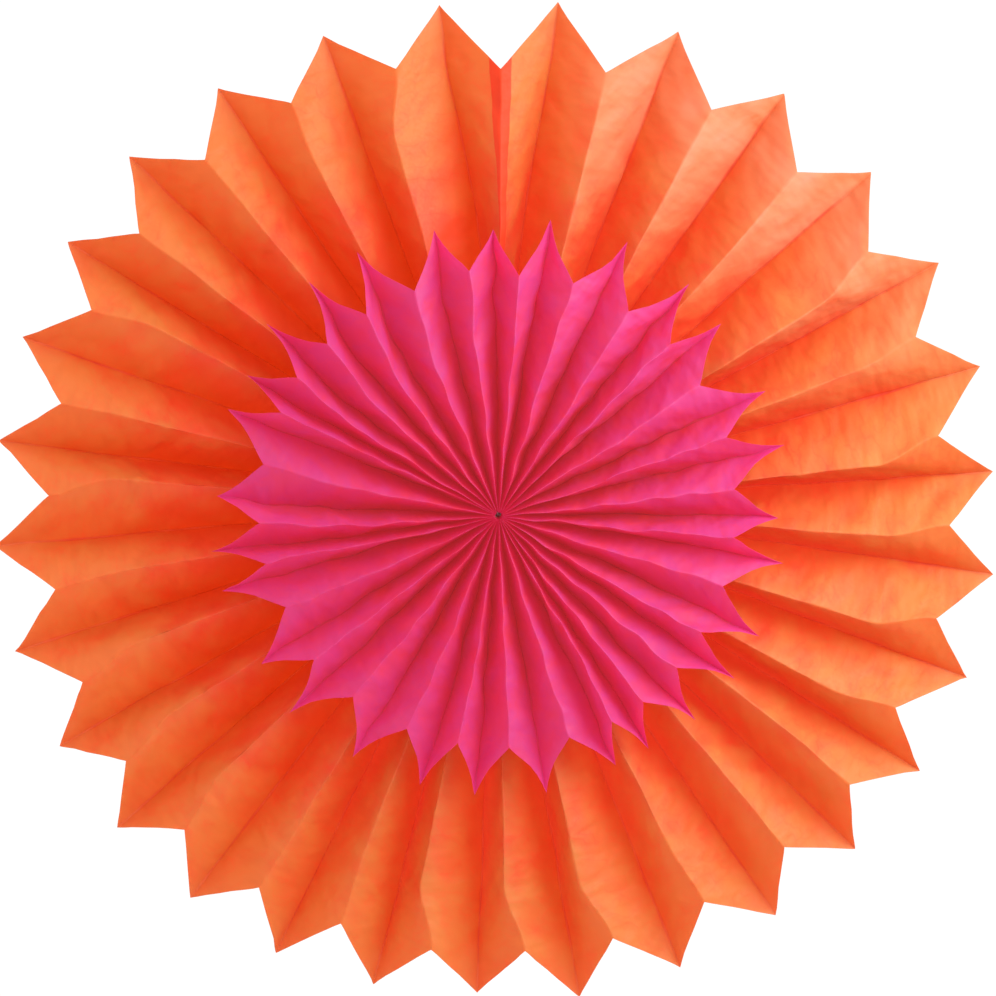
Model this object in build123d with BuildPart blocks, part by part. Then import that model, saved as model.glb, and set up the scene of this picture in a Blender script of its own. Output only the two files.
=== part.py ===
"""Double paper fan rosette: a small pink pleated fan fixed in front of a large orange one.

Millimetres. The rosette hangs upright in the XZ plane and faces -Y; +Z is up, through the glued
seams. The origin is on the axis of the centre hole, level with the rear folds of the orange fan.
"""

import os
from itertools import accumulate
from math import cos, hypot, radians, sin, sqrt

from build123d import *

# Tissue sheet; the glued lap at each seam has two layers
sheet_thickness = 0.1
seam_layers = 2

# Centre: the pleat ends are pressed together round a small hole
hole_radius = 1.5
bundle_wall = 0.3

# Orange fan, behind
orange_tip_radius = 250.0
orange_notch_radius = 223.5
orange_rim_depth = 11.5
orange_rim_hollow = 0.4
orange_seam_angle = 0.5
# how far each pleat is opened, in degrees, clockwise from the seam, which is a front fold
orange_pleat_angles = (13.5, 14.5, 13.5, 13.5, 12.5, 13, 11.5, 12, 12.5, 11.5, 11.5, 12.5, 12.5, 11.5, 12,
                       12, 11.5, 12, 11.5, 11.5, 12.5, 12, 12, 12.5, 11.5, 12.5, 13, 14, 13.5)

# Pink fan, in front
pink_tip_radius = 140.0
pink_notch_radius = 117.5
pink_rim_depth = 7.4
pink_rim_hollow = 1.5
pink_seam_angle = -0.5
# how far apart its tips are, in degrees, clockwise from the seam, which is a rear fold
pink_pleat_angles = (11, 15.5, 14.5, 10, 16, 11.5, 14, 9, 15.5, 9.5, 11.5, 10.5, 7.5, 15, 14,
                     11, 15, 15, 11.5, 16.5, 8, 11, 18, 7.5, 10.5, 11.5, 11.5, 15.5, 12.5)

# Adhesive pad between the two fans
pad_radius = 20.0
pad_thickness = 1.0

# Where the points of a fold lie, as shares of its length: close together near the crowded centre
fold_shares = (0.02, 0.1, 0.4, 0.7, 1)


def full_circle(angles):
    """The pleat angles, evened out so that together they close the ring."""
    return [angle * 360 / sum(angles) for angle in angles]


def panel_width(openings, tip_radius, notch_radius, rim_depth):
    """Width of the pleat panels that leaves the widest pleat as deep as rim_depth at the rim."""
    spread = (tip_radius + notch_radius) * sin(radians(max(openings)) / 4)
    return hypot(spread, rim_depth)


def fold_points(angle, opening, side, reach, rim_radius, middle, width, layers):
    """Front and rear points of the sheet along one fold, from inside the hole out to the rim.

    side is 1 for a front fold and -1 for a rear one. The fold keeps half the height that a panel of
    that width has when it is spread by the opening; near the hole the layers are packed solid.
    """
    turn = radians(angle)
    bundle_radius = hole_radius + bundle_wall
    stations = [(hole_radius / 2, width / 2, width), (bundle_radius, width / 2, width)]
    for share in fold_shares:
        spread = 2 * (bundle_radius + share * (rim_radius - bundle_radius)) * sin(radians(opening) / 2)
        depth = layers * sheet_thickness * width / spread
        rise = sqrt(width**2 - spread**2) / 2
        front = rise if side > 0 else depth - rise
        stations.append((bundle_radius + share * (reach - bundle_radius), front, depth))
    front_points = []
    rear_points = []
    for radius, front, depth in stations:
        front_points.append(Vector(radius * sin(turn), -middle - front, radius * cos(turn)))
        rear_points.append(Vector(radius * sin(turn), -middle - front + depth, radius * cos(turn)))
    return front_points, rear_points


def panel_skin(ridge, valley, rim_point):
    """Flat facets of one side of a panel between its two folds, with a point on the rim between."""
    corners = []
    for here in range(len(ridge) - 2):
        corners.append((ridge[here], ridge[here + 1], valley[here + 1]))
        corners.append((ridge[here], valley[here + 1], valley[here]))
    corners.append((ridge[-2], ridge[-1], rim_point))
    corners.append((valley[-1], valley[-2], rim_point))
    corners.append((valley[-2], ridge[-2], rim_point))
    return corners


def pleated_sheet(openings, seam_angle, seam_side, tip_radius, notch_radius, middle, width, hollow):
    """The whole pleated ring of tissue as one solid, clockwise from its seam."""
    edges = [seam_angle, *(seam_angle + turned for turned in accumulate(openings))]
    angles = []
    for start, end in zip(edges, edges[1:]):
        angles += [start, (start + end) / 2]
    count = len(angles)
    folds = []
    for fold, angle in enumerate(angles):
        opening = (openings[fold // 2] + openings[(fold - 1) // 2]) / 4
        side = seam_side if fold % 2 == 0 else -seam_side
        reach = notch_radius if side > 0 else tip_radius
        layers = 1 if fold else seam_layers
        folds.append(fold_points(angle, opening, side, reach, (tip_radius + notch_radius) / 2,
                                 middle, width, layers))
    corners = []
    for fold in range(count):
        ridge = folds[fold]
        valley = folds[(fold + 1) % count]
        if (fold % 2 == 0) != (seam_side > 0):
            ridge, valley = valley, ridge
        rims = []
        for skin in range(2):
            inward = -hollow * Vector(ridge[skin][-1].X + valley[skin][-1].X, 0,
                                      ridge[skin][-1].Z + valley[skin][-1].Z).normalized()
            rims.append((ridge[skin][-1] + valley[skin][-1]) / 2 + inward)
            corners += panel_skin(ridge[skin], valley[skin], rims[skin])
        corners.append((ridge[0][-1], rims[0], rims[1], ridge[1][-1]))
        corners.append((rims[0], valley[0][-1], valley[1][-1], rims[1]))
        corners.append((ridge[0][0], valley[0][0], valley[1][0], ridge[1][0]))
    facets = [Face(Wire.make_polygon(points)) for points in corners]
    return Solid(Shell(facets))


# Depths: the rear folds of the orange fan lie in the XZ plane, the rest is stacked in front of it
orange_openings = full_circle(orange_pleat_angles)
pink_openings = full_circle(pink_pleat_angles)
orange_depth = panel_width(orange_openings, orange_tip_radius, orange_notch_radius, orange_rim_depth)
pink_depth = panel_width(pink_openings, pink_tip_radius, pink_notch_radius, pink_rim_depth)
pink_rear = orange_depth + pad_thickness

# Orange fan
with BuildPart() as orange_fan:
    add(pleated_sheet(orange_openings, orange_seam_angle, 1, orange_tip_radius, orange_notch_radius,
                      orange_depth / 2, orange_depth, orange_rim_hollow))
    with BuildSketch(Plane.XZ):
        Circle(hole_radius)
    extrude(amount=orange_depth, mode=Mode.SUBTRACT)
orange_fan.part.label = "orange_fan"

# Adhesive pad
with BuildPart() as adhesive_pad:
    with BuildSketch(Plane.XZ.offset(orange_depth)):
        Circle(pad_radius)
        Circle(hole_radius, mode=Mode.SUBTRACT)
    extrude(amount=pad_thickness)
adhesive_pad.part.label = "adhesive_pad"

# Pink fan
with BuildPart() as pink_fan:
    add(pleated_sheet(pink_openings, pink_seam_angle, -1, pink_tip_radius, pink_notch_radius,
                      pink_rear + pink_depth / 2, pink_depth, pink_rim_hollow))
    with BuildSketch(Plane.XZ.offset(pink_rear)):
        Circle(hole_radius)
    extrude(amount=pink_depth, mode=Mode.SUBTRACT)
pink_fan.part.label = "pink_fan"

os.makedirs("parts", exist_ok=True)
export_step(orange_fan.part, "parts/orange_fan.step")
export_step(adhesive_pad.part, "parts/adhesive_pad.step")
export_step(pink_fan.part, "parts/pink_fan.step")
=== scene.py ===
"""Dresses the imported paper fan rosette: two pleated tissue fans, their pad and a plain stage."""

from math import cos, hypot, radians, sin

import bpy
import numpy as np
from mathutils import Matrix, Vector, noise


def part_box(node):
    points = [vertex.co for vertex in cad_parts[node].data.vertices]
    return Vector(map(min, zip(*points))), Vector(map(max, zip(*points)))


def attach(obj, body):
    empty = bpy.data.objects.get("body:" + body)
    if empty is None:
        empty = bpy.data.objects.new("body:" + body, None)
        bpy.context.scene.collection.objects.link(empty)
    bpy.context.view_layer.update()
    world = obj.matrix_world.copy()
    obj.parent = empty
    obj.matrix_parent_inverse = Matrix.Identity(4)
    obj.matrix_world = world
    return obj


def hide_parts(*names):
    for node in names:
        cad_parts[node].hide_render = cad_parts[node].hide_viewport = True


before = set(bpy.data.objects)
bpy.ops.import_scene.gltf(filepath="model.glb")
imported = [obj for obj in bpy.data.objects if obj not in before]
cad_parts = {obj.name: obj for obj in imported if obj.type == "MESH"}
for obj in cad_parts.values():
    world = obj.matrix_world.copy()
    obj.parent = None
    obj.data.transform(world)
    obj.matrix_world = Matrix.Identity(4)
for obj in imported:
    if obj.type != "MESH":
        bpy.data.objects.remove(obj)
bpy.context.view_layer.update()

bl_info = {
    "name": "Paper Fan Rosette",
    "version": (1, 0, 0),
    "blender": (4, 5, 0),
    "location": "3D View > Sidebar > Rosette",
    "description": "Two pleated tissue fans, one in front of the other, with their pad and a plain stage",
    "category": "Object",
}

MM = 0.001

# Packed centre of both fans, in millimetres
BUNDLE_RADIUS = 1.8
# Folds of the CAD mesh: from this radius out, its corners are in one line if the angle between them is less
# than this, in degrees, and a line is a fold if it is longer than this, in millimetres
FOLDS_FROM = 20
FOLD_GAP = 0.2
FOLD_LENGTH = 20

# Where the points of a panel lie across it, from one fold to the next
ACROSS = (0, 0.025, 0.09, 0.22, 0.4, 0.6, 0.78, 0.91, 0.975)
# Rows of points from the hole to the rim, closer together near the hole
ROWS = 90
ROW_CROWDING = 1.15
# The last row is narrow, so that the cut edge stays crisp
EDGE_SHARE = 0.001
# Numbers that the tissue materials read from the mesh, three to an attribute
MARKS = ("groove", "along", "from_ridge", "cloud", "from_valley", "lap", "point", "painted_light")
# The lap mark of tissue that has no lap near it
OFF_LAP = -10.0

# Tissue finish and painted light: how strongly each mark shows in the colour
CLOUDY = 0.4
FIBROUS = 0.3
# the next three are painted: shade along the crinkle lines, a highlight on the front folds, shade in the
# rear creases
LINED = 0.2
RIDGE_HIGHLIGHT = 0.15
CREASED = 0.8
POINTED = 0.8
GLUE_SOAKED = 0.85
# Painted shade on the wrinkles: where they stand up the tissue is this much paler, in their hollows redder
WRINKLE_SHADE = 0.35
# Fibres to a metre, and crinkles to a millimetre around the unfolded sheet and along its folds
FIBRE_SCALE = 700.0
CRINKLES_AROUND = 0.07
CRINKLES_ALONG = 0.13
# Share of the crinkles' height that a line of painted shade takes
CRINKLE_LINE = 0.035
# Widths of the painted highlight on the front folds, the painted shade in the rear creases and the lap's
# soft edge, in millimetres
RIDGE_HIGHLIGHT_WIDTH = 0.7
CREASE_WIDTH = 2.2
LAP_BLUR = 0.4
# Share of the light that goes through the tissue
LIGHT_THROUGH = 0.6

# How far the orange front folds lean clockwise of their notches, in degrees
ORANGE_LEANS = (0, 0.3, -0.2, 0.3, 2.6, 1.4, 3, 2, 3, 2, -0.6, -0.2, 0.7, 2.8, 2.5,
                3, 0.5, 0, 2, 2.2, 2.4, 0.8, 2.8, 0.3, 1.8, 0.2, 0, -0.8, -2.5)
# How far all the orange rear folds lean clockwise of their points, in degrees
ORANGE_REAR_LEAN = -0.25
# The rear folds on both sides of the orange seam lean towards it, in degrees
ORANGE_SEAM_LEANS = {-1: 3.0, 1: -1.6}
# The cutting is uneven: the notch at the orange seam is cut deeper, and one point at the bottom is short
ORANGE_SEAM_NOTCH = -6.5
ORANGE_SHORT_POINT = 14
ORANGE_SHORT_BY = 4.0
# How far the glued lap reaches on both sides of the orange seam, in millimetres, and widens at the rim
LAP_LEFT = 1.5
LAP_RIGHT = 6.0
LAP_WIDENING = 4.5
# The orange fan was once folded up for packing: its left side has a jagged crease across at this radius
PACKED_RADIUS = 172.0
PACKED_SIDE = 285.0
PACKED_JAG = 12
PACKED_KINK = 0.9
PACKED_KINK_WIDTH = 2.5
# Painted shade is redder within the crease, by one sharp step and one soft one, and weaker in that side's
# folds
PACKED_SHADE = 0.8
PACKED_STEP = 0.6
PACKED_STEP_WIDTH = 2
PACKED_BLUR = 0.4
PACKED_BLUR_WIDTH = 25
PACKED_LESS_SHADE = 0.6

# How far the pink front folds lean clockwise of their notches, in degrees
PINK_LEANS = (0, 0, 0, 0, 0.5, 0, 0, 0.5, -0.5, 0.5, 1, 0.5, -1, 0, 0,
              -1, -1.5, -1.5, -1, -0.5, -0.5, -2, -2, 0, -2.5, -3.5, -3.5, -3, -1)
# How far the pink points are drawn out beyond their cut, in millimetres, clockwise from the seam
PINK_POINTS = (-2, 2.5, 6, 6, 3, 4, 5.5, 0, 4, 4, 4.5, 5, 1.5, 0, 4.5,
               2.5, 2.5, 3.5, 6, 0, 3, 4, 0, 1.5, 1, 7, 7, 4.5, 1)
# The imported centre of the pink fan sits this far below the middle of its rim, in millimetres
PINK_CENTRE_DROP = 2.7

# Stage, in metres: a near key light from the right, and a white room that is bright behind the tissue
KEY_PLACE = (0.46, -0.33, 0.22)
KEY_AIM = (0, 0, 0.02)
KEY_SIZE = 0.5
# Folds nearer than this shade each other from the room's light
SHADE_REACH = 0.03
REAR_WALL = (0.1, 0.99, 0)
SEEN_WHITE = 1.05
FLOOR_SIDES = 96
# Camera: width of its sensor, depth of the rim that it looks at, and how far the frame is off the middle
SENSOR_WIDTH = 36
RIM_DEPTH = 6.5
FRAME_RIGHT = 0.85
FRAME_UP = 2.6


def depth_range(node):
    """How far a CAD node reaches towards the viewer, in millimetres: its rear and its front."""
    low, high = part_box(node)
    return -high[1] / MM, -low[1] / MM


# Settings


class FanSettings:
    """What both fans have."""

    thickness: bpy.props.FloatProperty(
        name="Tissue", description="Thickness of the tissue",
        default=0.08 * MM, min=0, unit="LENGTH")
    ridge_round: bpy.props.FloatProperty(
        name="Front fold", description="Roundness of the front folds",
        default=0.2 * MM, min=0, unit="LENGTH")
    valley_round: bpy.props.FloatProperty(
        name="Rear fold", description="Roundness of the rear folds",
        default=0.15 * MM, min=0, unit="LENGTH")
    uneven: bpy.props.FloatProperty(
        name="Uneven cut", description="How unevenly the rim is cut",
        default=1 * MM, min=0, unit="LENGTH")


class OrangeFanSettings(bpy.types.PropertyGroup, FanSettings):
    """The large fan behind."""

    tip_radius: bpy.props.FloatProperty(
        name="Tip radius", description="Reach of the points", default=250 * MM, unit="LENGTH")
    notch_radius: bpy.props.FloatProperty(
        name="Notch radius", description="Reach of the notches", default=223.5 * MM, unit="LENGTH")
    rim_depth: bpy.props.FloatProperty(
        name="Rim depth", description="Depth of the widest pleat at the rim",
        default=11.5 * MM, unit="LENGTH")
    rim_hollow: bpy.props.FloatProperty(
        name="Rim hollow", description="How far the cut edges curve in",
        default=0.4 * MM, unit="LENGTH")
    wrinkle: bpy.props.FloatProperty(
        name="Wrinkles", description="Height of the soft wrinkles", default=1.2 * MM, unit="LENGTH")
    face: bpy.props.FloatVectorProperty(
        name="Tissue colour", description="Colour of a lit panel",
        subtype="COLOR", default=(0.66, 0.335, 0.062))
    # painted shade: the fold colour stands for the shade down in the deep folds and towards the hole
    deep: bpy.props.FloatVectorProperty(
        name="Fold colour", description="Colour along the folds",
        subtype="COLOR", default=(0.88, 0.085, 0.025))
    # painted shade along the rear folds
    crease: bpy.props.FloatVectorProperty(
        name="Crease colour", description="Colour of the rear folds",
        subtype="COLOR", default=(0.45, 0.02, 0.006))
    # painted highlight along the front folds
    ridge_highlight: bpy.props.FloatVectorProperty(
        name="Highlight colour", description="Colour of the highlighted front folds",
        subtype="COLOR", default=(0.78, 0.28, 0.09))
    # painted light: the panels at the upper right that face the light are painted paler in this colour
    pale: bpy.props.FloatVectorProperty(
        name="Lightened colour", description="Colour of the faded panels",
        subtype="COLOR", default=(0.8, 0.49, 0.31))
    lightened: bpy.props.FloatProperty(
        name="Lightening", description="How far the panels at the upper right have faded", default=0.55)
    point: bpy.props.FloatVectorProperty(
        name="Point colour", description="Colour of the outer points",
        subtype="COLOR", default=(0.62, 0.34, 0.11))
    glued: bpy.props.FloatVectorProperty(
        name="Lap colour", description="Colour of the glued lap at the seam",
        subtype="COLOR", default=(0.66, 0.03, 0.008))
    # painted glow all over the tissue, though it is no lamp
    bright: bpy.props.FloatVectorProperty(
        name="Painted glow", description="Light that the bright painted_glow adds all over",
        subtype="COLOR", default=(0.31, 0.01, 0.0015))
    # painted glow down in the closed folds near the hole, though it is no lamp
    glow: bpy.props.FloatVectorProperty(
        name="Packed glow", description="Light that the packed tissue near the hole carries",
        subtype="COLOR", default=(0.44, 0.016, 0.02))
    # where the painted shade of the fold colour reaches, and how much the depth of a fold sets it
    inner: bpy.props.FloatProperty(
        name="Deep within", description="Share of the reach where the fold colour is full",
        default=0.5)
    outer: bpy.props.FloatProperty(
        name="Pale from", description="Share of the reach where the tissue colour is full",
        default=1.0)
    groove_share: bpy.props.FloatProperty(
        name="Depth share", description="How much the depth of a fold sets its colour",
        default=0.42)
    through: bpy.props.FloatVectorProperty(
        name="Light through", description="Colour of light through the tissue",
        subtype="COLOR", default=(0.82, 0.2, 0.03))


class PinkFanSettings(bpy.types.PropertyGroup, FanSettings):
    """The small fan in front."""

    tip_radius: bpy.props.FloatProperty(
        name="Tip radius", description="Reach of the points", default=140 * MM, unit="LENGTH")
    notch_radius: bpy.props.FloatProperty(
        name="Notch radius", description="Reach of the notches", default=117.5 * MM, unit="LENGTH")
    rim_depth: bpy.props.FloatProperty(
        name="Rim depth", description="Depth of the widest pleat at the rim",
        default=7.4 * MM, unit="LENGTH")
    rim_hollow: bpy.props.FloatProperty(
        name="Rim hollow", description="How far the cut edges curve in",
        default=1.9 * MM, unit="LENGTH")
    wrinkle: bpy.props.FloatProperty(
        name="Wrinkles", description="Height of the soft wrinkles", default=0.7 * MM, unit="LENGTH")
    face: bpy.props.FloatVectorProperty(
        name="Tissue colour", description="Colour of a lit panel",
        subtype="COLOR", default=(0.5, 0.06, 0.36))
    # painted shade: the fold colour stands for the shade down in the deep folds and towards the hole
    deep: bpy.props.FloatVectorProperty(
        name="Fold colour", description="Colour along the folds",
        subtype="COLOR", default=(0.88, 0.058, 0.06))
    # painted shade along the rear folds
    crease: bpy.props.FloatVectorProperty(
        name="Crease colour", description="Colour of the rear folds",
        subtype="COLOR", default=(0.36, 0.015, 0.03))
    # painted highlight along the front folds
    ridge_highlight: bpy.props.FloatVectorProperty(
        name="Highlight colour", description="Colour of the highlighted front folds",
        subtype="COLOR", default=(0.9, 0.09, 0.3))
    # painted light: the panels at the upper right that face the light are painted paler in this colour
    pale: bpy.props.FloatVectorProperty(
        name="Lightened colour", description="Colour of the faded panels",
        subtype="COLOR", default=(0.75, 0.15, 0.5))
    lightened: bpy.props.FloatProperty(
        name="Lightening", description="How far the panels at the upper right have faded", default=0.1)
    point: bpy.props.FloatVectorProperty(
        name="Point colour", description="Colour of the outer points",
        subtype="COLOR", default=(0.5, 0.03, 0.4))
    glued: bpy.props.FloatVectorProperty(
        name="Lap colour", description="Colour of the glued lap at the seam",
        subtype="COLOR", default=(0.5, 0.03, 0.08))
    # painted glow all over the tissue, though it is no lamp
    bright: bpy.props.FloatVectorProperty(
        name="Painted glow", description="Light that the bright painted_glow adds all over",
        subtype="COLOR", default=(0.47, 0.021, 0.07))
    # painted glow down in the closed folds near the hole, though it is no lamp
    glow: bpy.props.FloatVectorProperty(
        name="Packed glow", description="Light that the packed tissue near the hole carries",
        subtype="COLOR", default=(0.3, 0.032, 0.036))
    # where the painted shade of the fold colour reaches, and how much the depth of a fold sets it
    inner: bpy.props.FloatProperty(
        name="Deep within", description="Share of the reach where the fold colour is full",
        default=0.18)
    outer: bpy.props.FloatProperty(
        name="Pale from", description="Share of the reach where the tissue colour is full",
        default=0.95)
    groove_share: bpy.props.FloatProperty(
        name="Depth share", description="How much the depth of a fold sets its colour",
        default=0.66)
    through: bpy.props.FloatVectorProperty(
        name="Light through", description="Colour of light through the tissue",
        subtype="COLOR", default=(0.95, 0.055, 0.29))


class PadSettings(bpy.types.PropertyGroup):
    """The foam pad that joins the fans."""

    foam: bpy.props.FloatVectorProperty(
        name="Foam", description="Colour of the foam",
        subtype="COLOR", default=(0.8, 0.79, 0.75))
    cell: bpy.props.FloatProperty(
        name="Cell", description="Size of the foam's cells", default=0.6 * MM, unit="LENGTH")


class StageSettings(bpy.types.PropertyGroup):
    """Floor, light and camera."""

    floor_drop: bpy.props.FloatProperty(
        name="Floor", description="How far below the centre the floor is",
        default=0.75, unit="LENGTH")
    floor_radius: bpy.props.FloatProperty(
        name="Floor radius", description="Size of the floor", default=1.9, unit="LENGTH")
    floor_colour: bpy.props.FloatVectorProperty(
        name="Floor colour", description="Colour of the floor",
        subtype="COLOR", default=(0.88, 0.88, 0.87))
    key_power: bpy.props.FloatProperty(
        name="Key light", description="Power of the key light in watts", default=4.3)
    room_light: bpy.props.FloatProperty(
        name="Room light", description="Brightness of the white surroundings", default=0.72)
    back_light: bpy.props.FloatProperty(
        name="Back light", description="How much brighter the surroundings are behind the tissue",
        default=2.4)
    top_light: bpy.props.FloatProperty(
        name="Top light", description="How much brighter the surroundings are above", default=0.5)
    elevation: bpy.props.FloatProperty(
        name="Elevation", description="How far the camera looks down",
        default=radians(4.6), subtype="ANGLE")
    azimuth: bpy.props.FloatProperty(
        name="Azimuth", description="How far right the camera stands",
        default=radians(-1.5), subtype="ANGLE")
    distance: bpy.props.FloatProperty(
        name="Distance", description="Camera to rim", default=4.64, unit="LENGTH")
    lens: bpy.props.FloatProperty(
        name="Lens", description="Focal length in millimetres", default=336.5)


# Shader maths


class Shade:
    """An output socket of one node tree; arithmetic on it adds Math nodes."""

    def __init__(self, tree, socket=None):
        self.tree = tree
        self.socket = socket

    def node(self, kind, settings=None, values=None, output=0):
        """Adds a node: first its settings, then the values or links of its sockets."""
        made = self.tree.nodes.new(kind)
        for name, value in (settings or {}).items():
            setattr(made, name, value)
        for name, value in (values or {}).items():
            if isinstance(value, Shade):
                self.tree.links.new(value.socket, made.inputs[name])
            else:
                made.inputs[name].default_value = value
        return Shade(self.tree, made.outputs[output] if made.outputs else None)

    def math(self, operation, first, second=None):
        """A Math node on one or two values."""
        values = {0: first} if second is None else {0: first, 1: second}
        return self.node("ShaderNodeMath", {"operation": operation}, values)

    def __add__(self, other):
        return self.math("ADD", self, other)

    def __radd__(self, other):
        return self.math("ADD", other, self)

    def __sub__(self, other):
        return self.math("SUBTRACT", self, other)

    def __rsub__(self, other):
        return self.math("SUBTRACT", other, self)

    def __mul__(self, other):
        return self.math("MULTIPLY", self, other)

    def __rmul__(self, other):
        return self.math("MULTIPLY", other, self)

    def ramp(self, low, high, first, last):
        """Goes smoothly from first at low to last at high."""
        return self.node("ShaderNodeMapRange", {"interpolation_type": "SMOOTHSTEP"},
                         {"Value": self, "From Min": low, "From Max": high, "To Min": first, "To Max": last})

    def near(self, reach):
        """1 where this distance is 0, falling smoothly to 0 at reach."""
        return self.ramp(0.0, reach, 1.0, 0.0)

    def within(self, low, high):
        """Goes smoothly from 0 at low to 1 at high."""
        return self.ramp(low, high, 0.0, 1.0)

    def tone(self, colour, share, other):
        """Two colours mixed by a share."""
        return self.node("ShaderNodeMix", {"data_type": "RGBA", "clamp_factor": True},
                         {0: share, 6: colour, 7: other}, 2)


def new_material(name):
    """An empty node material and a start for its expressions."""
    material = bpy.data.materials.new(name)
    material.use_nodes = True
    material.node_tree.nodes.clear()
    return material, Shade(material.node_tree)


def rgba(colour):
    """A colour as its sockets take it."""
    return (*colour, 1.0)


def trio_names():
    """Names of the mesh attributes that hold the marks."""
    return [f"marks_{first // 3}" for first in range(0, len(MARKS), 3)]


def tissue_material(name, settings):
    """Thin dyed tissue: cloudy fibres, painted shade deeper and redder down in the folds, a painted
    highlight on the front ones.
    """
    material, start = new_material(name)
    # the painted glow is too weak to be searched for as a lamp
    material.cycles.emission_sampling = "NONE"
    trios = []
    for layer in trio_names():
        trios.append(start.node("ShaderNodeAttribute", {"attribute_name": layer}, output=1))

    def mark(mark_name):
        trio, part = divmod(MARKS.index(mark_name), 3)
        return start.node("ShaderNodeSeparateXYZ", None, {0: trios[trio]}, part)

    groove = mark("groove")
    cloud = mark("cloud")
    place = start.node("ShaderNodeTexCoord", output=3)
    fibre = start.node("ShaderNodeTexNoise", None, {"Vector": place, "Scale": FIBRE_SCALE, "Detail": 0.0})
    fibre = fibre - 0.5
    flat = start.node("ShaderNodeAttribute", {"attribute_name": "flat"}, output=1)
    crinkle = start.node("ShaderNodeTexNoise", None, {"Vector": flat, "Scale": 1.0, "Detail": 1.0})
    # thin lines of painted shade where the crinkles turn over
    lines = start.math("ABSOLUTE", crinkle - 0.5).near(CRINKLE_LINE)

    # painted shade: redder towards the hole and down in the deep folds, with random cloud and fibre and
    # painted shade along the crinkle lines
    inside = 1 - mark("along").within(settings.inner, settings.outer)
    depth = groove * settings.groove_share + inside * (1 - settings.groove_share)
    depth = depth + cloud * CLOUDY + fibre * FIBROUS + lines * LINED
    # painted shade along the rear folds, broken by random cloud
    creased = mark("from_valley").near(CREASE_WIDTH) * (cloud * CLOUDY + CREASED)
    colour = start.tone(rgba(settings.face), depth, rgba(settings.deep))
    # painted light: the panels at the upper right that face the light are painted paler
    colour = start.tone(colour, mark("painted_light") * (settings.lightened - cloud * CLOUDY), rgba(settings.pale))
    # painted highlight along the front folds
    colour = start.tone(colour, mark("from_ridge").near(RIDGE_HIGHLIGHT_WIDTH) * RIDGE_HIGHLIGHT, rgba(settings.ridge_highlight))
    colour = start.tone(colour, creased, rgba(settings.crease))
    colour = start.tone(colour, mark("point") * POINTED, rgba(settings.point))
    # painted glow, stronger down in the closed folds, stands in for light scattered through the tissue
    packed = start.tone(rgba(settings.bright), groove.within(0.2, 0.85), rgba(settings.glow))
    roughness = 0.62 + fibre * 0.16
    bump = start.node("ShaderNodeBump", None, {"Strength": 0.8, "Distance": 2 * MM, "Height": crinkle})
    paper = start.node("ShaderNodeBsdfPrincipled", {"distribution": "GGX"},
                       {"Base Color": colour, "Roughness": roughness, "Normal": bump,
                        "Specular IOR Level": 1.0, "Emission Color": packed, "Emission Strength": 1.0})
    shine = start.node("ShaderNodeBsdfTranslucent", None, {"Color": rgba(settings.through)})
    sheet = start.node("ShaderNodeMixShader", None, {0: LIGHT_THROUGH, 1: paper, 2: shine})

    # the glued lap is two layers thick: deep in colour and hardly lit through, with the same painted glow
    lap = mark("lap").within(-LAP_BLUR, LAP_BLUR)
    glued = start.node("ShaderNodeBsdfPrincipled", None,
                       {"Base Color": rgba(settings.glued), "Roughness": roughness, "Normal": bump,
                        "Specular IOR Level": 0.2, "Emission Color": rgba(settings.bright),
                        "Emission Strength": 1.0})
    sheet = start.node("ShaderNodeMixShader", None, {0: lap * GLUE_SOAKED, 1: sheet, 2: glued})
    start.node("ShaderNodeOutputMaterial", None, {"Surface": sheet})
    return material


def foam_material(settings):
    """Double-sided foam tape: small closed cells in pale foam, with painted shade dark round the hole."""
    material, start = new_material("foam_tape")
    place = start.node("ShaderNodeTexCoord", output=3)
    cells = start.node("ShaderNodeTexVoronoi", {"feature": "SMOOTH_F1"},
                       {"Vector": place, "Scale": 1 / settings.cell})
    shade = start.node("ShaderNodeTexNoise", None, {"Vector": place, "Scale": 120.0, "Detail": 2.0})
    dull = [0.8 * part for part in settings.foam]
    colour = start.tone(rgba(settings.foam), cells * 0.5 + (shade - 0.5) * 0.4, rgba(dull))
    # painted shade: the foam darkens round the hole
    beside_axis = start.node("ShaderNodeVectorMath", {"operation": "MULTIPLY"}, {0: place, 1: (1, 0, 1)})
    from_axis = start.node("ShaderNodeVectorMath", {"operation": "LENGTH"}, {0: beside_axis}, 1)
    colour = start.tone(colour, from_axis.near(4 * MM), (0.06, 0.008, 0.01, 1.0))
    bump = start.node("ShaderNodeBump", None, {"Strength": 0.5, "Distance": 0.2 * MM, "Height": cells})
    plastic = start.node("ShaderNodeBsdfPrincipled", None,
                         {"Base Color": colour, "Roughness": 0.6 + shade * 0.2, "Normal": bump})
    start.node("ShaderNodeOutputMaterial", None, {"Surface": plastic})
    return material


def floor_material(settings):
    """A smooth pale floor with a barely uneven finish."""
    material, start = new_material("pale_floor")
    place = start.node("ShaderNodeTexCoord", output=3)
    cloud = start.node("ShaderNodeTexNoise", None, {"Vector": place, "Scale": 3.0, "Detail": 3.0})
    colour = start.tone(rgba(settings.floor_colour), cloud * 0.1, (0.8, 0.8, 0.8, 1.0))
    plain = start.node("ShaderNodeBsdfPrincipled", None,
                       {"Base Color": colour, "Roughness": 0.55 + cloud * 0.2, "Specular IOR Level": 0.2})
    start.node("ShaderNodeOutputMaterial", None, {"Surface": plain})
    return material


# Pleated sheets


def rise_to(value, low, high):
    """Goes smoothly from 0 at low to 1 at high."""
    step = np.clip((value - low) / (high - low), 0, 1)
    return step * step * (3 - 2 * step)


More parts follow.
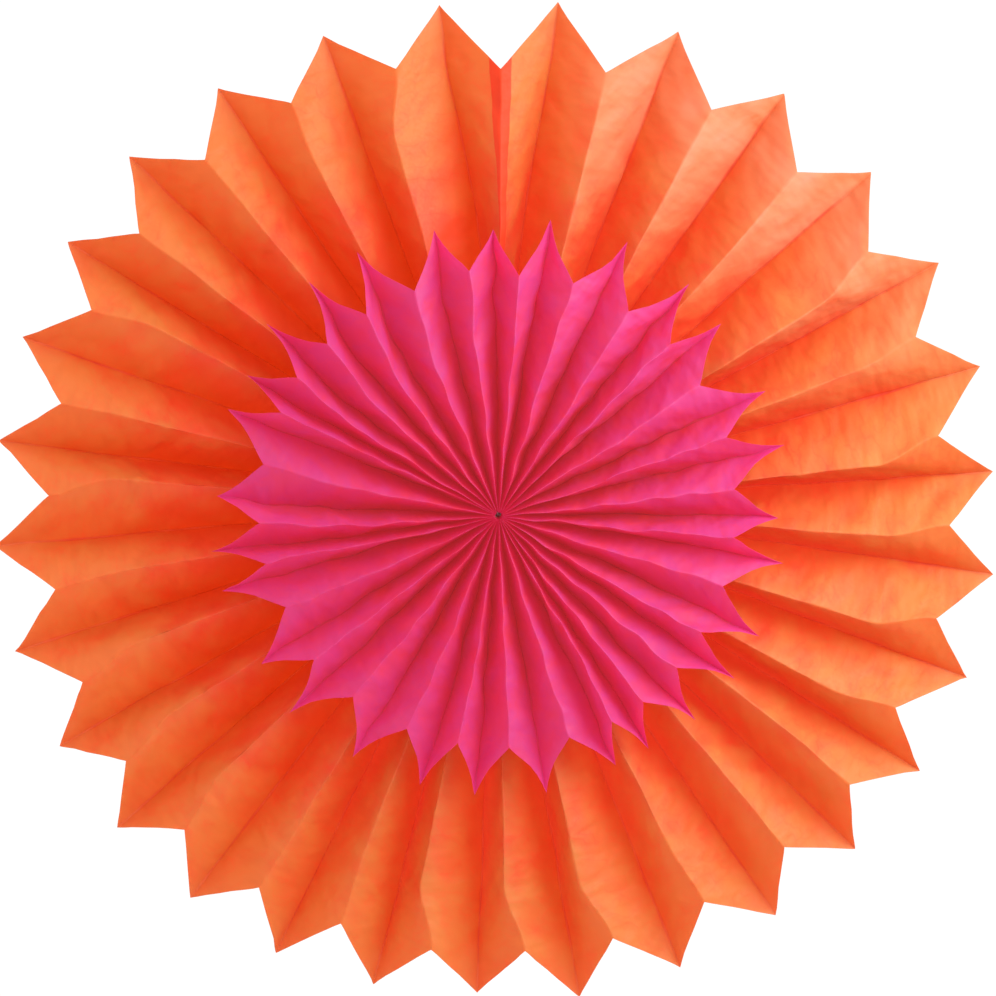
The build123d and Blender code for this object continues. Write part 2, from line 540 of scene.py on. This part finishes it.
def from_centre(points):
    """How far the points are from the fan's axis."""
    return np.hypot(points[..., 0], points[..., 2])


def clock_angle(points):
    """Where the points lie round the fan, in degrees clockwise from the top."""
    return np.degrees(np.arctan2(points[..., 0], points[..., 2])) % 360


def lit_side(points):
    """1 at the upper right, which faces the light and is painted paler as painted light, and 0 elsewhere."""
    clock = clock_angle(points)
    return rise_to(clock, 4, 22) * (1 - rise_to(clock, 45, 85))


def fold_angles(node):
    """Angles of a CAD fan's folds, in radians clockwise; the first is the seam, which is nearest to the top.

    The corners of the flat facets lie in lines along the folds, and singly on the rim in between.
    """
    corners = np.array([corner.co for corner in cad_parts[node].data.vertices]) / MM
    corners = corners[from_centre(corners) > FOLDS_FROM]
    corners = corners[np.argsort(clock_angle(corners))]
    gaps = np.flatnonzero(np.diff(clock_angle(corners)) > FOLD_GAP)
    angles = []
    for line in np.split(corners, gaps + 1):
        radius = from_centre(line)
        if np.ptp(radius) > FOLD_LENGTH:
            angles.append(clock_angle(line)[np.argmax(radius)])
    angles = np.array(angles)
    seam = np.argmin(np.minimum(angles, 360 - angles))
    return np.radians(np.concatenate((angles[seam:], angles[:seam] + 360)))


class Folds:
    """The folds of one fan, clockwise from its seam, in millimetres and radians."""

    def __init__(self, node, seam_side, settings, seed):
        rear, front = depth_range(node)
        self.middle = (rear + front) / 2
        self.angle = fold_angles(node)
        self.count = len(self.angle)
        # how far the panels beside a fold are opened: the mean of the two
        before = np.roll(self.angle, 1)
        before[0] -= 2 * np.pi
        after = np.roll(self.angle, -1)
        after[-1] += 2 * np.pi
        self.opening = (after - before) / 2
        self.side = np.tile([seam_side, -seam_side], self.count // 2)
        self.tip = settings.tip_radius / MM
        self.notch = settings.notch_radius / MM
        self.reach = np.where(self.side > 0, self.notch, self.tip)
        self.reach += np.random.default_rng(seed).normal(0, settings.uneven / MM, self.count)
        self.drawn = np.zeros(self.count)
        self.mean = (self.tip + self.notch) / 2
        # the widest pleat sets the width of all panels
        spread = 2 * self.mean * sin(self.opening[1::2].max() / 2)
        self.width = hypot(spread, settings.rim_depth / MM)

    def rise(self, share):
        """Half the depth of the pleats along each fold, one row for each share of its length."""
        radius = BUNDLE_RADIUS + share * (self.mean - BUNDLE_RADIUS)
        spread = 2 * radius * np.sin(self.opening / 2)
        return np.sqrt(self.width**2 - spread**2) / 2


def wobble(radius, length, size, seed):
    """Uneven sideways shift of hand-pressed folds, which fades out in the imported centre."""
    fold_step = 3.7
    packed_radius = 25
    shifts = np.empty(radius.shape)
    for row, column in np.ndindex(radius.shape):
        shifts[row, column] = noise.noise(Vector((radius[row, column] / length, fold_step * column, seed)))
    return shifts * size * np.clip(radius / packed_radius, 0, 1)


def panel_places(columns):
    """Where the columns of points lie round the sheet, in panels from the seam."""
    panel, step = np.divmod(np.arange(columns), len(ACROSS))
    return panel + np.array(ACROSS)[step]


def pleated_points(folds, settings, shift):
    """Points of the folded sheet, row by row from the hole to the rim, and what its material reads."""
    share = np.linspace(0, 1, ROWS + 1) ** ROW_CROWDING
    share = np.insert(share, ROWS, 1 - EDGE_SHARE)[:, None]
    radius = BUNDLE_RADIUS + share * (folds.reach - BUNDLE_RADIUS)
    side_shift = shift(share, folds)
    outward = np.stack((np.sin(folds.angle), np.cos(folds.angle)), -1)
    clockwise = np.stack((np.cos(folds.angle), -np.sin(folds.angle)), -1)
    flat_place = radius[..., None] * outward + side_shift[..., None] * clockwise
    height = folds.rise(share) * folds.side

    across = np.array(ACROSS)
    columns = folds.count * len(across)
    here = np.repeat(np.arange(folds.count), len(across))
    after = (here + 1) % folds.count
    step = np.tile(across, folds.count)
    place = flat_place[:, here] * (1 - step)[:, None] + flat_place[:, after] * step[:, None]
    level = height[:, here] * (1 - step) + height[:, after] * step

    # round the folds a little
    panel = np.linalg.norm(flat_place[:, after] - flat_place[:, here], axis=-1)
    drop = height[:, after] - height[:, here]
    length = np.hypot(panel, drop)
    slope = np.abs(drop) / length
    to_here = step * length
    to_after = (1 - step) * length
    for distance, fold in ((to_here, here), (to_after, after)):
        side = folds.side[fold]
        round_size = np.where(side > 0, settings.ridge_round / MM, settings.valley_round / MM)
        round_size = round_size * np.clip(panel / 4, 0.02, 1)
        level = level - side * slope * (np.sqrt(distance**2 + round_size**2) - distance)

    # near the rim, hollow the cut edge between notch and point, and draw the points out
    rim = np.clip((share - 0.9) / 0.1, 0, 1) ** 2
    outwards = place / np.linalg.norm(place, axis=-1, keepdims=True)
    ridge_here = folds.side[here] > 0
    to_tip = np.where(ridge_here, step, 1 - step)
    hollow = 27 / 4 * to_tip**2 * (1 - to_tip) * settings.rim_hollow / MM
    drawn = np.where(ridge_here, folds.drawn[after], folds.drawn[here]) * to_tip**6
    place = place + outwards * (rim * (drawn - hollow))[..., None]
    points = np.stack((place[..., 0], -folds.middle - level, place[..., 1]), -1)

    # painted light: the panels clockwise of a front fold face the light, and are painted paler further in
    # from the rim
    painted_light = np.where(ridge_here, rise_to(share, 0.5, 0.95), rise_to(share, 0.75, 1))
    marks = {
        "groove": to_tip**0.8 * slope**1.5,
        "from_ridge": np.where(ridge_here, to_here, to_after),
        "from_valley": np.where(ridge_here, to_after, to_here),
        "along": np.broadcast_to(share, (len(share), columns)),
        "point": rise_to(share, 0.86, 1) * to_tip**4,
        "painted_light": painted_light * lit_side(points),
        "lap": np.full((len(share), columns), OFF_LAP),
    }
    return points, marks


def grid_normals(points):
    """Unit normals of a ring-shaped grid of points, towards the viewer."""
    along = np.gradient(points, axis=0)
    around = np.roll(points, -1, 1) - np.roll(points, 1, 1)
    normal = np.cross(around, along)
    normal /= np.linalg.norm(normal, axis=-1, keepdims=True)
    return normal


def soft_noise(points, length, panels, seed):
    """Smooth slanting unevenness, sized in millimetres along the folds and in panels across them."""
    slant_length = 70
    slant_panels = 1.3
    slant_seed = seed + 50
    rows, columns, _ = points.shape
    radius = from_centre(points)
    turn = panel_places(columns)
    amount = np.empty((rows, columns))
    for row, column in np.ndindex(rows, columns):
        drift = Vector((radius[row, column] / slant_length, turn[column] / slant_panels, slant_seed))
        slant = noise.noise(drift)
        spot = Vector((radius[row, column] / length + 1.5 * slant, turn[column] / panels, seed))
        amount[row, column] = noise.noise(spot) + 0.5 * noise.noise(spot * 2.1)
    return amount


def wrinkles(points, seed):
    """Soft creases that lie slantwise across the panels, about 1 high and deep."""
    coarse = soft_noise(points, length=15, panels=0.8, seed=seed)
    return coarse + 0.45 * soft_noise(points, length=7, panels=0.5, seed=seed + 20)


def press_wrinkles(points, marks, heights):
    """Moves the points along the sheet's normals, less so at the pressed folds and near the centre."""
    free = np.minimum(marks["from_ridge"], marks["from_valley"])
    calm = np.clip(from_centre(points) / 60, 0, 1) * (0.35 + 0.65 * rise_to(free, 0, 6))
    return points + grid_normals(points) * (heights * calm)[..., None]


def bake_layout(rows, columns):
    """Texture places of the faces' corners: an upright cell for each panel's front, and one for its back."""
    panel, step = np.divmod(np.arange(columns), len(ACROSS))
    left = np.array(ACROSS)[step]
    right = np.append(ACROSS, 1)[step + 1]
    low = np.arange(rows - 1)[:, None] / (rows - 1)
    high = low + 1 / (rows - 1)
    cells_across = columns / len(ACROSS) / 2
    cells_up = 4

    def cells(skin, corners):
        spots = []
        for across, up in corners:
            # a margin is left round each cell
            u = (panel // 2 + 0.04 + 0.92 * across) / cells_across
            v = (panel % 2 * 2 + skin + 0.03 + 0.94 * up) / cells_up
            spots.append(np.stack(np.broadcast_arrays(u, v), -1))
        return np.stack(spots, -2).reshape(-1, 2)

    # front, back, and in the margin the cut edges at the rim and the hole
    return np.concatenate((
        cells(0, ((left, low), (left, high), (right, high), (right, low))),
        cells(1, ((left, low), (right, low), (right, high), (left, high))),
        cells(0, ((left, 1.01), (left, 1.02), (right, 1.02), (right, 1.01))),
        cells(0, ((left, -0.01), (right, -0.01), (right, -0.02), (left, -0.02))),
    ))


def tissue_mesh(name, points, marks, width, thickness, material):
    """A closed thin mesh object on both sides of the points."""
    rows, columns, _ = points.shape
    normal = grid_normals(points)
    half = thickness / MM / 2
    front = (points + normal * half).reshape(-1, 3)
    rear = (points - normal * half).reshape(-1, 3)
    skins = np.concatenate((front, rear)) * MM
    number = np.arange(rows * columns).reshape(rows, columns)
    beside = np.roll(number, -1, 1)
    back = rows * columns

    def quads(a, b, c, d):
        return np.stack((a, b, c, d), -1).reshape(-1, 4)

    faces = np.concatenate((
        quads(number[:-1], number[1:], beside[1:], beside[:-1]),
        quads(number[:-1], beside[:-1], beside[1:], number[1:]) + back,
        quads(number[-1], number[-1] + back, beside[-1] + back, beside[-1]),
        quads(number[0], beside[0], beside[0] + back, number[0] + back),
    ))
    mesh = bpy.data.meshes.new(name)
    mesh.from_pydata(skins.tolist(), [], faces.tolist())
    for trio, layer_name in enumerate(trio_names()):
        packed = np.zeros((rows, columns, 3))
        for place, mark in enumerate(MARKS[3 * trio:3 * trio + 3]):
            packed[..., place] = marks[mark]
        layer = mesh.attributes.new(layer_name, "FLOAT_VECTOR", "POINT")
        layer.data.foreach_set("vector", np.tile(packed.ravel(), 2).astype(np.float32))
    # the unfolded sheet is rolled into a tube, so that the crinkles meet at the seam
    panels = columns / len(ACROSS)
    turn = 2 * np.pi * panel_places(columns) / panels
    tube = panels * width / (2 * np.pi)
    strip = np.zeros((rows, columns, 3))
    strip[..., 0] = tube * np.cos(turn) * CRINKLES_AROUND
    strip[..., 1] = from_centre(points) * CRINKLES_ALONG
    strip[..., 2] = tube * np.sin(turn) * CRINKLES_AROUND
    flat = mesh.attributes.new("flat", "FLOAT_VECTOR", "POINT")
    flat.data.foreach_set("vector", np.tile(strip.ravel(), 2).astype(np.float32))
    layout = mesh.uv_layers.new(name="OFBake")
    layout.data.foreach_set("uv", bake_layout(rows, columns).ravel().astype(np.float32))
    # the cut edges stay crisp
    smooth = np.arange(len(faces)) < len(faces) - 2 * columns
    mesh.polygons.foreach_set("use_smooth", smooth)
    mesh.update()
    piece = bpy.data.objects.new(name, mesh)
    bpy.context.scene.collection.objects.link(piece)
    piece.data.materials.append(material)
    return piece


def orange_shift(share, folds):
    """Sideways shift of the orange folds, in millimetres clockwise."""
    inside = (1 - share) * folds.reach
    lean = np.zeros(folds.count)
    lean[folds.side > 0] = ORANGE_LEANS
    lean[folds.side < 0] = ORANGE_REAR_LEAN
    # a front fold starts at its notch and leans further in
    turn = lean * np.where(folds.side > 0, rise_to(inside, 0, 34), 1.0)
    for fold, seam_lean in ORANGE_SEAM_LEANS.items():
        turn[:, fold] += seam_lean * rise_to(inside[:, fold], 20, 130)
    radius = share * folds.reach
    return np.radians(turn) * radius + wobble(radius, length=22, size=0.6, seed=5.5)


def pink_shift(share, folds):
    """Sideways shift of the pink folds, in millimetres clockwise; the rear ones follow the front ones."""
    front_lean = np.array(PINK_LEANS, float)
    lean = np.zeros(folds.count)
    lean[folds.side > 0] = front_lean
    lean[folds.side < 0] = (front_lean + np.roll(front_lean, 1)) / 2
    turn = lean * rise_to((1 - share) * folds.reach, 0, 45)
    radius = share * folds.reach
    return np.radians(turn) * radius + wobble(radius, length=13, size=1.5, seed=8.5)


def lap_mark(folds, marks):
    """How far inside the glued lap the tissue is; the lap runs along the seam and widens towards the rim."""
    columns = marks["along"].shape[1]
    half = folds.count / 2
    from_seam = ((panel_places(columns) + half) % folds.count - half) * folds.width
    widen = rise_to(marks["along"], 0.6, 1)
    return np.minimum(from_seam + LAP_LEFT + LAP_WIDENING * widen, LAP_RIGHT - from_seam)


# Stage


def set_light_paths(scene):
    """Plain colours and few bounces: after them, light in the deep folds is taken from the room."""
    scene.view_settings.view_transform = "Standard"
    scene.cycles.max_bounces = 6
    scene.cycles.diffuse_bounces = 5
    scene.cycles.transmission_bounces = 5
    scene.cycles.use_fast_gi = True
    scene.cycles.fast_gi_method = "REPLACE"
    scene.cycles.ao_bounces_render = 1
    scene.cycles.caustics_reflective = False
    scene.cycles.caustics_refractive = False


def lay_floor(scene, settings):
    """A round floor below the rosette."""
    reach = settings.floor_radius
    ring = []
    for side in range(FLOOR_SIDES):
        turn = radians(360 * side / FLOOR_SIDES)
        ring.append((reach * cos(turn), reach * sin(turn), -settings.floor_drop))
    mesh = bpy.data.meshes.new("floor")
    mesh.from_pydata(ring, [], [tuple(range(FLOOR_SIDES))])
    floor = bpy.data.objects.new("floor", mesh)
    scene.collection.objects.link(floor)
    mesh.materials.append(floor_material(settings))


def paint_room(scene, settings):
    """White surroundings, brighter behind the tissue and above, and plain white where they are seen."""
    world = bpy.data.worlds.new("white_room")
    world.use_nodes = True
    scene.world = world
    world.cycles.sampling_method = "NONE"
    world.light_settings.distance = SHADE_REACH
    world.node_tree.nodes.clear()
    start = Shade(world.node_tree)
    seen = start.node("ShaderNodeLightPath")
    direction = start.node("ShaderNodeTexCoord", output=0)
    facing = start.node("ShaderNodeVectorMath", {"operation": "DOT_PRODUCT"},
                        {0: direction, 1: Vector(REAR_WALL).normalized()}, 1)
    height = start.node("ShaderNodeSeparateXYZ", None, {0: direction}, 2)
    level = 1 - height.within(0.15, 0.6)
    around = facing.within(-0.1, 0.8) * level * settings.back_light + settings.room_light
    around = around + height.within(0.0, 0.7) * settings.top_light
    strength = around + seen * (SEEN_WHITE - around)
    background = start.node("ShaderNodeBackground", None, {"Color": (1, 1, 1, 1), "Strength": strength})
    start.node("ShaderNodeOutputWorld", None, {"Surface": background})


def hang_key_light(scene, settings):
    """A soft round lamp, near and from the right."""
    lamp = bpy.data.lights.new("key", "AREA")
    lamp.energy = settings.key_power
    lamp.shape = "DISK"
    lamp.size = KEY_SIZE
    key = bpy.data.objects.new("key", lamp)
    scene.collection.objects.link(key)
    key.location = KEY_PLACE
    key.rotation_mode = "QUATERNION"
    key.rotation_quaternion = (Vector(KEY_AIM) - key.location).to_track_quat("-Z", "Y")
    key.visible_camera = False


def place_camera(scene, settings):
    """A long lens that looks slightly down at the rim."""
    eye = bpy.data.cameras.new("camera")
    eye.lens = settings.lens
    eye.sensor_width = SENSOR_WIDTH
    camera = bpy.data.objects.new("camera", eye)
    scene.collection.objects.link(camera)
    level = cos(settings.elevation)
    back = Vector((sin(settings.azimuth) * level, -cos(settings.azimuth) * level, sin(settings.elevation)))
    camera.rotation_mode = "QUATERNION"
    camera.rotation_quaternion = (-back).to_track_quat("-Z", "Y")
    rim_middle = Vector((0, -RIM_DEPTH * MM, 0))
    off_middle = camera.rotation_quaternion @ Vector((FRAME_RIGHT * MM, FRAME_UP * MM, 0))
    camera.location = rim_middle + back * settings.distance + off_middle
    scene.camera = camera


# Operators and panel


class ROSETTE_OT_orange_fan(bpy.types.Operator):
    """Make the large orange fan"""

    bl_idname = "rosette.orange_fan"
    bl_label = "Orange fan"

    def execute(self, context):
        settings = context.scene.rosette_orange
        folds = Folds("orange_fan", seam_side=1, settings=settings, seed=21)
        folds.reach[0] = folds.notch + ORANGE_SEAM_NOTCH
        folds.reach[2 * ORANGE_SHORT_POINT + 1] = folds.tip - ORANGE_SHORT_BY
        points, marks = pleated_points(folds, settings, orange_shift)
        heights = wrinkles(points, seed=11.3)

        # packing crease
        radius = from_centre(points)
        packed = rise_to(np.cos(np.radians(clock_angle(points) - PACKED_SIDE)), 0.05, 0.6)
        crease = PACKED_RADIUS + PACKED_JAG * soft_noise(points, length=400, panels=0.5, seed=2.6)
        step = rise_to(radius, crease - PACKED_STEP_WIDTH, crease + PACKED_STEP_WIDTH)
        blur = rise_to(radius, crease - PACKED_BLUR_WIDTH, crease + PACKED_BLUR_WIDTH)
        within = 1 - PACKED_STEP * step - PACKED_BLUR * blur
        kink = np.exp(-((radius - crease) / PACKED_KINK_WIDTH)**2) * packed

        # painted shade: the folds on the left side get less of it, and within the crease the tissue is
        # painted redder
        marks["groove"] = marks["groove"] * (1 - PACKED_LESS_SHADE * packed)
        # painted shade on the wrinkles: paler where they stand up, redder in their hollows
        marks["cloud"] = soft_noise(points, length=13, panels=0.4, seed=4.1) - WRINKLE_SHADE * heights
        marks["cloud"] = marks["cloud"] + PACKED_SHADE * packed * within
        marks["lap"] = lap_mark(folds, marks)
        points = press_wrinkles(points, marks, heights * settings.wrinkle / MM - PACKED_KINK * kink)
        material = tissue_material("orange_tissue", settings)
        piece = tissue_mesh("orange_tissue_fan", points, marks, folds.width, settings.thickness, material)
        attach(piece, "root")
        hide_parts("orange_fan")
        return {"FINISHED"}


class ROSETTE_OT_pink_fan(bpy.types.Operator):
    """Make the small pink fan"""

    bl_idname = "rosette.pink_fan"
    bl_label = "Pink fan"

    def execute(self, context):
        settings = context.scene.rosette_pink
        folds = Folds("pink_fan", seam_side=-1, settings=settings, seed=34)
        folds.drawn[folds.side < 0] = PINK_POINTS
        points, marks = pleated_points(folds, settings, pink_shift)
        points[..., 2] -= PINK_CENTRE_DROP * (1 - rise_to(from_centre(points), 0, folds.notch))
        heights = wrinkles(points, seed=47.9)
        # painted shade on the wrinkles: paler where they stand up, redder in their hollows
        marks["cloud"] = soft_noise(points, length=8, panels=0.5, seed=6.2) - WRINKLE_SHADE * heights
        points = press_wrinkles(points, marks, heights * settings.wrinkle / MM)
        material = tissue_material("pink_tissue", settings)
        piece = tissue_mesh("pink_tissue_fan", points, marks, folds.width, settings.thickness, material)
        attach(piece, "root")
        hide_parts("pink_fan")
        return {"FINISHED"}


class ROSETTE_OT_adhesive_pad(bpy.types.Operator):
    """Finish the foam pad between the fans"""

    bl_idname = "rosette.adhesive_pad"
    bl_label = "Adhesive pad"

    def execute(self, context):
        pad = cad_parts["adhesive_pad"]
        material = foam_material(context.scene.rosette_pad)
        if not pad.material_slots:
            raise RuntimeError("the pad has no material slot")
        for place in pad.material_slots:
            place.material = material
        return {"FINISHED"}


class ROSETTE_OT_stage(bpy.types.Operator):
    """Set up the floor, the light and the camera"""

    bl_idname = "rosette.stage"
    bl_label = "Stage"

    def execute(self, context):
        scene = context.scene
        settings = scene.rosette_stage
        set_light_paths(scene)
        lay_floor(scene, settings)
        paint_room(scene, settings)
        hang_key_light(scene, settings)
        place_camera(scene, settings)
        return {"FINISHED"}


class ROSETTE_PT_panel(bpy.types.Panel):
    """The rosette's pieces and their settings"""

    bl_label = "Paper Fan Rosette"
    bl_idname = "ROSETTE_PT_panel"
    bl_space_type = "VIEW_3D"
    bl_region_type = "UI"
    bl_category = "Rosette"

    def draw(self, context):
        for settings, operator in SECTIONS:
            box = self.layout.box()
            group = getattr(context.scene, settings)
            for prop in group.bl_rna.properties:
                if prop.identifier not in ("rna_type", "name"):
                    box.prop(group, prop.identifier)
            box.operator(operator)


SECTIONS = (
    ("rosette_orange", "rosette.orange_fan"),
    ("rosette_pad", "rosette.adhesive_pad"),
    ("rosette_pink", "rosette.pink_fan"),
    ("rosette_stage", "rosette.stage"),
)
GROUPS = {
    "rosette_orange": OrangeFanSettings,
    "rosette_pink": PinkFanSettings,
    "rosette_pad": PadSettings,
    "rosette_stage": StageSettings,
}
CLASSES = (
    *GROUPS.values(),
    ROSETTE_OT_orange_fan,
    ROSETTE_OT_adhesive_pad,
    ROSETTE_OT_pink_fan,
    ROSETTE_OT_stage,
    ROSETTE_PT_panel,
)


def register():
    """Adds the classes and gives each scene its settings."""
    for kind in CLASSES:
        bpy.utils.register_class(kind)
    for name, group in GROUPS.items():
        setattr(bpy.types.Scene, name, bpy.props.PointerProperty(type=group))


def unregister():
    """Takes the settings and the classes away again."""
    for name in GROUPS:
        delattr(bpy.types.Scene, name)
    for kind in reversed(CLASSES):
        bpy.utils.unregister_class(kind)


def main():
    """Makes all pieces and the stage."""
    register()
    bpy.ops.rosette.orange_fan()
    bpy.ops.rosette.adhesive_pad()
    bpy.ops.rosette.pink_fan()
    bpy.ops.rosette.stage()


if __name__ == "__main__":
    main()
